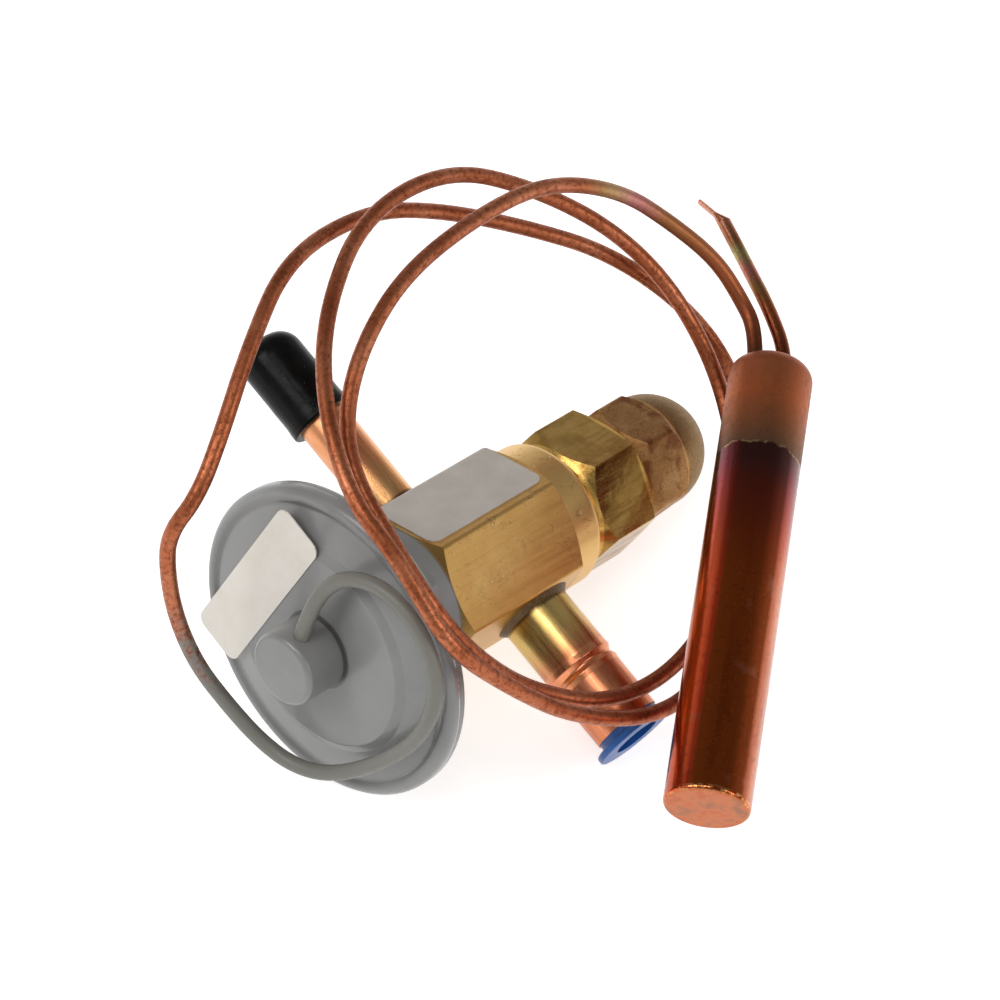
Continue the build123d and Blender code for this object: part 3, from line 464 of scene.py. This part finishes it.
def bulb_finish():
    """Copper bulb: dull heated shoulder, a thin golden line, then dark red tints, then red-brown, with
    painted highlights down both sides and along the edge of its foot.
    """
    reach, tint_line, tint_fade, shoulder_end, foot = 6.4, 59.0, 30.0, 76.0, 0.3
    # Colours across the bulb, with painted highlights: bright orange down its left side and pink down its
    # right, darker copper between.
    across = [(0.0, (186, 82, 50)), (0.14, (206, 84, 46)), (0.27, (184, 70, 40)), (0.31, (146, 68, 26)),
              (0.88, (136, 62, 26)), (0.94, (190, 110, 78)), (1.0, (206, 130, 100))]
    dark_streak, orange_speck = (104, 40, 16), (196, 96, 48)
    dark_mottle, pale_smudge = (78, 32, 16), (168, 108, 84)
    middle_tints = [(0.0, (122, 50, 26)), (0.45, (124, 50, 28)), (0.75, (96, 40, 34)),
                    (0.9, (56, 38, 42)), (1.0, (44, 36, 40))]
    highlit_side_tints = [(0.0, (190, 84, 50)), (0.45, (172, 68, 48)), (0.75, (136, 52, 58)),
                  (0.92, (86, 42, 62)), (1.0, (64, 46, 54))]
    heated = [(0.0, (104, 76, 58)), (0.2, (132, 84, 56)), (0.55, (170, 94, 56)), (1.0, (160, 94, 64))]
    heated_blot, gold_line, foot_highlight = (104, 62, 42), (172, 140, 104), (236, 170, 110)
    end_face = [(0.35, (178, 96, 58)), (0.5, (188, 112, 74)), (0.65, (152, 102, 76))]
    f = Finish("bulb_copper", Metallic=1.0)
    p = f.place(bulb_axes, bulb_start)
    x, _, z = f.split(p)
    side = f.span(x, -reach, reach, soft=False)
    off_middle = f.maths("SUBTRACT", side, 0.5)
    bow = f.times(f.times(off_middle, off_middle), 1.2)
    uneven = f.noise(f.stretch(p, (0.25, 0.25, 0.1)), scale=1.0, detail=4, rough=0.6)
    wobble = f.times(f.maths("SUBTRACT", uneven, 0.5), 3.0)
    level = f.maths("ADD", z, f.maths("ADD", wobble, bow))
    mottle = f.noise(p, scale=1.0, detail=6, rough=0.7)
    speck = f.noise(p, scale=3.0, detail=3, rough=0.7)
    streak = f.noise(f.stretch(p, (0.5, 0.5, 0.035)), scale=1.0, detail=5, rough=0.6)
    # The copper colour across the bulb, with the painted highlights down its sides.
    body = f.ramp(side, across)
    body = f.over(f.span(streak, 0.48, 0.72, out_low=0.0, out_high=0.45), dark_streak, body)
    body = f.over(f.span(speck, 0.55, 0.72, out_low=0.0, out_high=0.6), orange_speck, body)
    body = f.over(f.span(mottle, 0.52, 0.7, out_low=0.0, out_high=0.5), dark_mottle, body)
    smudge = f.noise(p, scale=0.16, detail=3, rough=0.5)
    body = f.over(f.span(smudge, 0.6, 0.68, out_low=0.0, out_high=0.3), pale_smudge, body)
    fall = f.span(level, tint_fade, tint_line, soft=False)
    # Painted highlights: the tints are brighter along both sides of the bulb.
    highlit_sides = f.maths("MAXIMUM", f.span(side, 0.3, 0.1), f.span(side, 0.84, 0.97))
    tinted = f.over(highlit_sides, f.ramp(fall, highlit_side_tints), f.ramp(fall, middle_tints))
    colour = f.over(f.span(fall, 0.1, 0.6, out_low=0.0, out_high=0.85), tinted, body)
    shoulder = f.ramp(f.span(level, tint_line, shoulder_end, soft=False), heated)
    shoulder = f.over(f.span(mottle, 0.5, 0.72, out_low=0.0, out_high=0.4), heated_blot, shoulder)
    above = f.span(level, tint_line - 0.2, tint_line + 0.3)
    colour = f.over(above, shoulder, colour)
    broken = f.span(f.noise(f.stretch(p, (0.8, 0.8, 0.2)), scale=1.0, detail=3, rough=0.6), 0.4, 0.56)
    golden = f.times(f.band(level, tint_line - 0.05, tint_line + 0.05, edge=0.22), broken)
    colour = f.over(f.times(golden, 0.8), gold_line, colour)
    end = f.span(z, foot, foot - 0.2)
    colour = f.over(end, f.ramp(f.noise(p, scale=0.3, detail=5, rough=0.6), end_face), colour)
    # Painted highlight along the rounded edge of the foot.
    foot_highlight_mask = f.times(f.band(z, foot - 0.1, foot + 0.5, edge=0.2), f.span(mottle, 0.5, 0.56))
    colour = f.over(f.times(foot_highlight_mask, 0.6), foot_highlight, colour)
    smooth = f.span(mottle, 0.3, 0.7, out_low=0.14, out_high=0.24)
    dull = f.span(mottle, 0.3, 0.7, out_low=0.42, out_high=0.55)
    f.set(Base_Color=colour, Roughness=f.blend(end, f.blend(above, smooth, dull), 0.45))
    f.set(Normal=f.bump(f.noise(p, scale=0.5, detail=3), depth=0.02, under=f.bump(speck, depth=0.006)))
    f.on("sensing_bulb")


def braze_finish():
    """Dull braze metal with dark flux."""
    flux = [(0.3, (62, 50, 38)), (0.55, (104, 82, 54)), (0.75, (150, 124, 84))]
    f = Finish("braze", Metallic=0.8)
    blot = f.noise(f.place(), scale=1.6, detail=6, rough=0.7)
    f.set(Base_Color=f.ramp(blot, flux), Normal=f.bump(blot, depth=0.08))
    f.set(Roughness=f.span(blot, 0.3, 0.7, out_low=0.35, out_high=0.6))
    f.on("outlet_braze_ring", "inlet_braze_ring", "capillary_entry_braze", "fill_entry_braze")


def bright_copper_finish():
    """Turned copper ring, bright on its edge."""
    copper = [(0.35, (190, 108, 70)), (0.65, (240, 172, 130))]
    f = Finish("bright_copper", Metallic=1.0)
    p = f.place(valve_axes, valve_start)
    cloud = f.noise(p, scale=0.9, detail=5, rough=0.6)
    lines = f.noise(f.stretch(p, (0.4, 0.4, 8.0)), scale=1.0, detail=3)
    f.set(Base_Color=f.ramp(cloud, copper), Normal=f.bump(lines, depth=0.02))
    f.set(Roughness=f.span(cloud, 0.3, 0.7, out_low=0.12, out_high=0.26))
    f.on("cap_washer", "housing_gasket")


def plug_finish():
    """Moulded blue plastic, a little worn in small pale patches."""
    blue = [(0.3, (8, 78, 158)), (0.7, (22, 100, 182))]
    pale_wear = (120, 160, 205)
    f = Finish("plug_blue", Subsurface_Weight=0.05)
    p = f.place(valve_axes, valve_start)
    cloud = f.noise(p, scale=0.5, detail=4)
    wear = f.span(f.noise(p, scale=2.4, detail=5, rough=0.7), 0.62, 0.72, out_low=0.0, out_high=0.25)
    f.set(Base_Color=f.over(wear, pale_wear, f.ramp(cloud, blue)))
    f.set(Roughness=f.span(cloud, 0.3, 0.7, out_low=0.3, out_high=0.42))
    f.set(Normal=f.bump(f.noise(p, scale=1.8, detail=3), depth=0.02))
    f.on("outlet_plug")


def vinyl_finish():
    """Glossy black dipped vinyl with dust and slight waves."""
    black, dust = [(0.3, (8, 8, 8)), (0.7, (16, 16, 15))], (96, 95, 92)
    f = Finish("vinyl_black", Specular_IOR_Level=0.1)
    p = f.place(valve_axes, valve_start)
    cloud = f.noise(p, scale=0.35, detail=4)
    speck = f.span(f.cells(p, scale=0.9), 0.05, 0.08, out_low=0.5, out_high=0.0)
    f.set(Base_Color=f.over(speck, dust, f.ramp(cloud, black)))
    f.set(Roughness=f.span(cloud, 0.3, 0.7, out_low=0.2, out_high=0.32))
    ripples = f.bump(f.noise(p, scale=1.6, detail=3), depth=0.01)
    f.set(Normal=f.bump(f.noise(p, scale=0.3, detail=2), depth=0.06, under=ripples))
    f.on("inlet_cap")


def label_finish(name, piece, light, dark, metal, rough):
    """Bare label, a little soiled, with a fibre or brushed surface."""
    soiled = (150, 138, 118)
    f = Finish(name, Metallic=metal)
    p = f.place(valve_axes, valve_start)
    fibre = f.noise(f.stretch(p, (3.0, 3.0, 0.9)), scale=1.0, detail=5, rough=0.7)
    soil = f.span(f.noise(p, scale=0.8, detail=6, rough=0.75), 0.64, 0.76, out_low=0.0, out_high=0.15)
    colour = f.ramp(f.noise(p, scale=0.18, detail=5, rough=0.6), [(0.3, dark), (0.65, light)])
    f.set(Base_Color=f.over(soil, soiled, colour))
    f.set(Roughness=f.span(fibre, 0.3, 0.7, out_low=rough, out_high=rough + 0.12))
    f.set(Normal=f.bump(fibre, depth=0.008))
    f.on(piece)


def inner_finish(name, stops, rough, lines, depth, *pieces):
    """Clean metal inside the valve, with fine turned or drawn lines."""
    f = Finish(name, Metallic=1.0)
    p = f.place(valve_axes, valve_start)
    streak = f.noise(f.stretch(p, (lines, lines, 0.05)), scale=1.0, detail=4, rough=0.65)
    cloud = f.ramp(f.noise(p, scale=0.16, detail=5, rough=0.6), stops)
    darkest = stops[0][1]
    colour = f.over(f.span(streak, 0.45, 0.75, out_low=0.0, out_high=0.35), darkest, cloud)
    f.set(Base_Color=colour, Roughness=f.span(streak, 0.35, 0.7, *rough), Normal=f.bump(streak, depth=depth))
    f.on(*pieces)


def packing_finish():
    """White packing with a fibrous surface."""
    white = [(0.3, (206, 204, 196)), (0.7, (232, 231, 226))]
    f = Finish("packing_white")
    fibre = f.noise(f.place(valve_axes, valve_start), scale=2.5, detail=4, rough=0.7)
    f.set(Base_Color=f.ramp(fibre, white), Normal=f.bump(fibre, depth=0.03))
    f.set(Roughness=f.span(fibre, 0.3, 0.7, out_low=0.5, out_high=0.7))
    f.on("stem_packing")


# Colours of the tube ends, near the body and at their mouths, and of the metals inside
outlet_brass = [(0.3, (202, 170, 100)), (0.55, (220, 188, 114)), (0.75, (230, 200, 132))]
outlet_copper = [(0.3, (186, 104, 66)), (0.55, (210, 130, 92)), (0.75, (228, 158, 124))]
inlet_brass = [(0.3, (208, 152, 98)), (0.55, (222, 168, 112)), (0.75, (230, 182, 128))]
inlet_copper = [(0.3, (206, 138, 94)), (0.55, (220, 152, 108)), (0.75, (230, 170, 128))]
groove_centre = 24.0
inner_brass = [(0.3, (190, 150, 84)), (0.55, (212, 174, 108)), (0.75, (226, 194, 132))]
steel = [(0.3, (150, 151, 153)), (0.55, (176, 177, 179)), (0.75, (198, 198, 199))]
spring_steel = [(0.3, (96, 97, 100)), (0.55, (122, 123, 127)), (0.75, (150, 151, 154))]
cream, cream_dark = (242, 236, 227), (234, 227, 216)
silver, silver_dark = (206, 200, 192), (192, 185, 176)
semi_bright, wire_rough = (0.2, 0.32), (0.25, 0.4)

painted_case()
body_finish()
housing_finish()
cap_finish()
tube_finish("outlet_copper", "outlet_tube", outlet_brass, outlet_copper, groove=groove_centre)
tube_finish("inlet_copper", "inlet_tube", inlet_brass, inlet_copper)
capillary_finish()
fill_finish()
bulb_finish()
braze_finish()
bright_copper_finish()
plug_finish()
vinyl_finish()
label_finish("label_cream", "power_label", light=cream, dark=cream_dark, metal=0.0, rough=0.5)
label_finish("label_silver", "body_label", light=silver, dark=silver_dark, metal=0.35, rough=0.42)
inner_finish("inner_brass", inner_brass, semi_bright, 3.0, 0.01,
             "buffer_plate", "pin_carrier", "spring_guide", "adjusting_stem", "packing_follower")
inner_finish("ground_steel", steel, semi_bright, 4.0, 0.008,
             "diaphragm", "push_rods", "seat_insert", "valve_pin", "inlet_strainer")
inner_finish("spring_wire", spring_steel, wire_rough, 1.2, 0.01, "superheat_spring")
packing_finish()


def floor_plane(half, below, pale=0.85):
    """Pale floor that shows as white and keeps the shadow of the part."""
    corners = [(-half, -half, 0), (half, -half, 0), (half, half, 0), (-half, half, 0)]
    mesh = bpy.data.meshes.new("floor")
    mesh.from_pydata(corners, [], [(0, 1, 2, 3)])
    floor = bpy.data.objects.new("floor", mesh)
    floor.location.z = -below
    scene.collection.objects.link(floor)
    f = Finish("floor", Base_Color=(pale, pale, pale, 1), Roughness=0.9, Specular_IOR_Level=0.1)
    rays = f.node("ShaderNodeLightPath").outputs
    through = f.maths("MAXIMUM", rays["Is Glossy Ray"], rays["Is Transmission Ray"])
    seen = f.maths("MAXIMUM", rays["Is Camera Ray"], through)
    f.set(Emission_Color=(1, 1, 1, 1), Emission_Strength=f.times(seen, floor_glow))
    mesh.materials.append(f.material)


def lamp(name, place, size, power):
    """Soft rectangular lamp aimed at the part."""
    light = bpy.data.lights.new(name, "AREA")
    light.shape = "RECTANGLE"
    light.size, light.size_y = size
    light.energy = power
    holder = bpy.data.objects.new(name, light)
    holder.location = place
    holder.rotation_euler = (Vector(lamp_target) - Vector(place)).to_track_quat("-Z", "Y").to_euler()
    scene.collection.objects.link(holder)


def studio(greys):
    """Surroundings by height above the horizon: pale low down and dark overhead."""
    world = bpy.data.worlds.new("world")
    scene.world = world
    world.use_nodes = True
    tree = world.node_tree
    split = tree.nodes.new("ShaderNodeSeparateXYZ")
    fade = tree.nodes.new("ShaderNodeValToRGB")
    elements = fade.color_ramp.elements
    while len(elements) < len(greys):
        elements.new(0.5)
    for element, (height, grey) in zip(elements, greys):
        element.position = height
        element.color = (grey, grey, grey, 1)
    tree.links.new(tree.nodes.new("ShaderNodeTexCoord").outputs["Generated"], split.inputs[0])
    tree.links.new(split.outputs[2], fade.inputs["Fac"])
    tree.links.new(fade.outputs["Color"], tree.nodes["Background"].inputs["Color"])


# Floor, light and surroundings
floor_glow = 0.68
floor_half, floor_drop = 3.0, 0.3 * mm
lamp_target = (0, 0, 0.02)
floor_plane(floor_half, floor_drop)
lamp("key", (-0.75, 0.35, 0.9), size=(0.6, 0.6), power=5.0)
lamp("side", (0.3, -1.0, 0.6), size=(0.5, 0.6), power=3.5)
lamp("front", (-0.4, -0.2, 1.1), size=(0.4, 0.4), power=2.2)
studio([(0.0, 0.66), (0.2, 0.72), (0.4, 0.5), (0.62, 0.26), (1.0, 0.22)])
